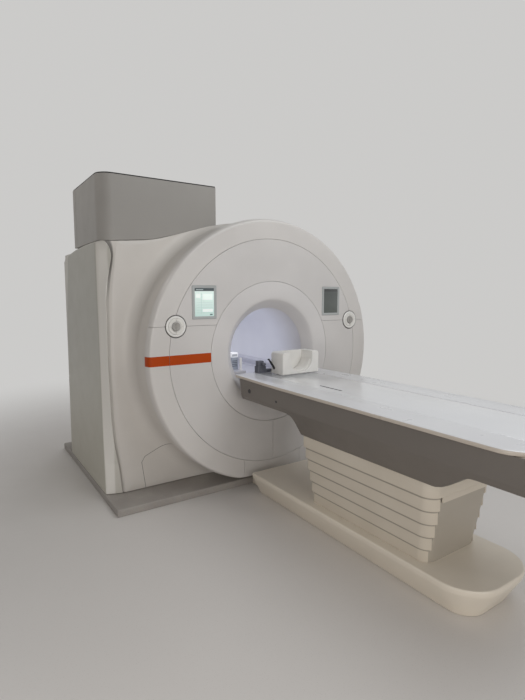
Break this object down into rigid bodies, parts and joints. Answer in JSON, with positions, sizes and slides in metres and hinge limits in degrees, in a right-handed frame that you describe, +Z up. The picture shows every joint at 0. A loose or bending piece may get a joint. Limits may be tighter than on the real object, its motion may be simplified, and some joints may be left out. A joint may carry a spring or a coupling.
{
  "type": "mri scanner",
  "caption": "Whole-body MRI scanner: round front face with displays and control units, side wings and ceiling column, and a lifting patient table with a sliding board and head coil",
  "frame": {"origin": "on the floor, directly below the isocentre of the magnet", "axes": "+Z up, the patient enters from -Y, +X is right seen from the front"},
  "size_m": [2.53, 4.1, 2.408],
  "materials": {
    "plinth_vinyl": "grey sheet flooring turned up over a raised plinth",
    "vessel_steel": "painted steel vessel",
    "coil_resin": "cast resin",
    "coil_laminate": "laminate",
    "bore_liner": "smooth white liner",
    "dock_plastic": "moulded box",
    "carrier_metal": "plain",
    "face_cover": "satin moulded cover",
    "body_paint": "satin moulded cover",
    "side_paint": "satin moulded cover",
    "column_paint": "matt paint",
    "gasket": "dark foam strip",
    "steel_fittings": "plain",
    "orange_film": "satin film",
    "display_bezel": "satin grey",
    "glass_lit": "lit screen",
    "glass_dark": "screen at rest",
    "control_white": "bright ring",
    "knob_grey": "satin grey",
    "key_white": "light keys",
    "base_cream": "satin cream",
    "lift_metal": "plain",
    "strip_cream": "satin cream strips",
    "frame_taupe": "satin dark taupe",
    "shelf_white": "cool white top",
    "socket_dark": "dark",
    "board_white": "cool white laminate",
    "coil_white": "warm white shell",
    "lever_dark": "dark",
    "connector_dark": "dark plugs"
  },
  "bodies": {
    "scanner": {"plinth": "plinth_vinyl", "magnet_vessel": "vessel_steel", "gradient_coil": "coil_resin", "body_coil": "coil_laminate", "bore_tube": "bore_liner", "bore_bed": "bore_liner", "dock_box": "dock_plastic", "cover_carrier": "carrier_metal", "rim_upper": "face_cover", "rim_left": "face_cover", "rim_right": "face_cover", "rim_bottom": "face_cover", "cover_upper": "face_cover", "cover_left": "face_cover", "cover_right": "face_cover", "front_funnel": "face_cover", "body_cover": "body_paint", "access_panels": "body_paint", "wing_left": "side_paint", "wing_right": "side_paint", "top_cover": "side_paint", "rear_cover": "side_paint", "column_front": "column_paint", "column_rear": "column_paint", "column_gasket": "gasket", "cold_head": "steel_fittings", "quench_pipe": "steel_fittings", "stripe_band": "orange_film", "display_frames": "display_bezel", "display_left": "glass_lit", "display_right": "glass_dark", "control_housings": "control_white", "base_plate": "base_cream", "lift_tube": "lift_metal", "lamella_6": "strip_cream", "end_panel": "strip_cream"},
    "table": {"table_frame": "frame_taupe", "table_shelf": "shelf_white", "table_sockets": "socket_dark", "lift_ram": "lift_metal", "lamella_1": "strip_cream"},
    "board": {"sliding_board": "board_white", "head_coil": "coil_white", "coil_connectors": "connector_dark"},
    "lever": {"coil_lever": "lever_dark"},
    "knob_l": {"knob_left": "knob_grey"},
    "knob_r": {"knob_right": "knob_grey"},
    "strip_2": {"lamella_2": "strip_cream"},
    "strip_3": {"lamella_3": "strip_cream"},
    "strip_4": {"lamella_4": "strip_cream"},
    "strip_5": {"lamella_5": "strip_cream"},
    "k_left_a": {"key_left_a": "key_white"},
    "k_left_b": {"key_left_b": "key_white"},
    "k_left_c": {"key_left_c": "key_white"},
    "k_left_d": {"key_left_d": "key_white"},
    "k_right_a": {"key_right_a": "key_white"},
    "k_right_b": {"key_right_b": "key_white"},
    "k_right_c": {"key_right_c": "key_white"},
    "k_right_d": {"key_right_d": "key_white"}
  },
  "joints": [
    {"name": "table_lift", "type": "slide", "parent": "scanner", "child": "table", "axis": [0, 0, 1], "range_m": [-0.34, 0]},
    {"name": "board_slide", "type": "slide", "parent": "table", "child": "board", "axis": [0, 1, 0], "range_m": [0, 1.75]},
    {"name": "coil_lever_turn", "type": "hinge", "parent": "board", "child": "lever", "pos_m": [-0.1, -1.09, 0.985], "axis": [1, 0, 0], "range_deg": [0, 40]},
    {"name": "knob_left_turn", "type": "hinge", "parent": "scanner", "child": "knob_l", "pos_m": [-0.838, -0.936, 1.323], "axis": [0, 1, 0], "continuous": true},
    {"name": "knob_right_turn", "type": "hinge", "parent": "scanner", "child": "knob_r", "pos_m": [0.838, -0.936, 1.323], "axis": [0, 1, 0], "continuous": true},
    {"name": "strip_2_slide", "type": "slide", "parent": "scanner", "child": "strip_2", "axis": [0, 0, 1], "range_m": [-0.272, 0]},
    {"name": "strip_3_slide", "type": "slide", "parent": "scanner", "child": "strip_3", "axis": [0, 0, 1], "range_m": [-0.204, 0]},
    {"name": "strip_4_slide", "type": "slide", "parent": "scanner", "child": "strip_4", "axis": [0, 0, 1], "range_m": [-0.136, 0]},
    {"name": "strip_5_slide", "type": "slide", "parent": "scanner", "child": "strip_5", "axis": [0, 0, 1], "range_m": [-0.068, 0]},
    {"name": "key_left_a_press", "type": "slide", "parent": "scanner", "child": "k_left_a", "axis": [0, 1, 0], "range_m": [0, 0.002], "stiffness_N_per_m": 1000, "springref_m": -0.001},
    {"name": "key_left_b_press", "type": "slide", "parent": "scanner", "child": "k_left_b", "axis": [0, 1, 0], "range_m": [0, 0.002], "stiffness_N_per_m": 1000, "springref_m": -0.001},
    {"name": "key_left_c_press", "type": "slide", "parent": "scanner", "child": "k_left_c", "axis": [0, 1, 0], "range_m": [0, 0.002], "stiffness_N_per_m": 1000, "springref_m": -0.001},
    {"name": "key_left_d_press", "type": "slide", "parent": "scanner", "child": "k_left_d", "axis": [0, 1, 0], "range_m": [0, 0.002], "stiffness_N_per_m": 1000, "springref_m": -0.001},
    {"name": "key_right_a_press", "type": "slide", "parent": "scanner", "child": "k_right_a", "axis": [0, 1, 0], "range_m": [0, 0.002], "stiffness_N_per_m": 1000, "springref_m": -0.001},
    {"name": "key_right_b_press", "type": "slide", "parent": "scanner", "child": "k_right_b", "axis": [0, 1, 0], "range_m": [0, 0.002], "stiffness_N_per_m": 1000, "springref_m": -0.001},
    {"name": "key_right_c_press", "type": "slide", "parent": "scanner", "child": "k_right_c", "axis": [0, 1, 0], "range_m": [0, 0.002], "stiffness_N_per_m": 1000, "springref_m": -0.001},
    {"name": "key_right_d_press", "type": "slide", "parent": "scanner", "child": "k_right_d", "axis": [0, 1, 0], "range_m": [0, 0.002], "stiffness_N_per_m": 1000, "springref_m": -0.001}
  ],
  "couplings": [
    {"joint": "strip_2_slide", "follows": "table_lift", "ratio": 0.8},
    {"joint": "strip_3_slide", "follows": "table_lift", "ratio": 0.6},
    {"joint": "strip_4_slide", "follows": "table_lift", "ratio": 0.4},
    {"joint": "strip_5_slide", "follows": "table_lift", "ratio": 0.2}
  ]
}
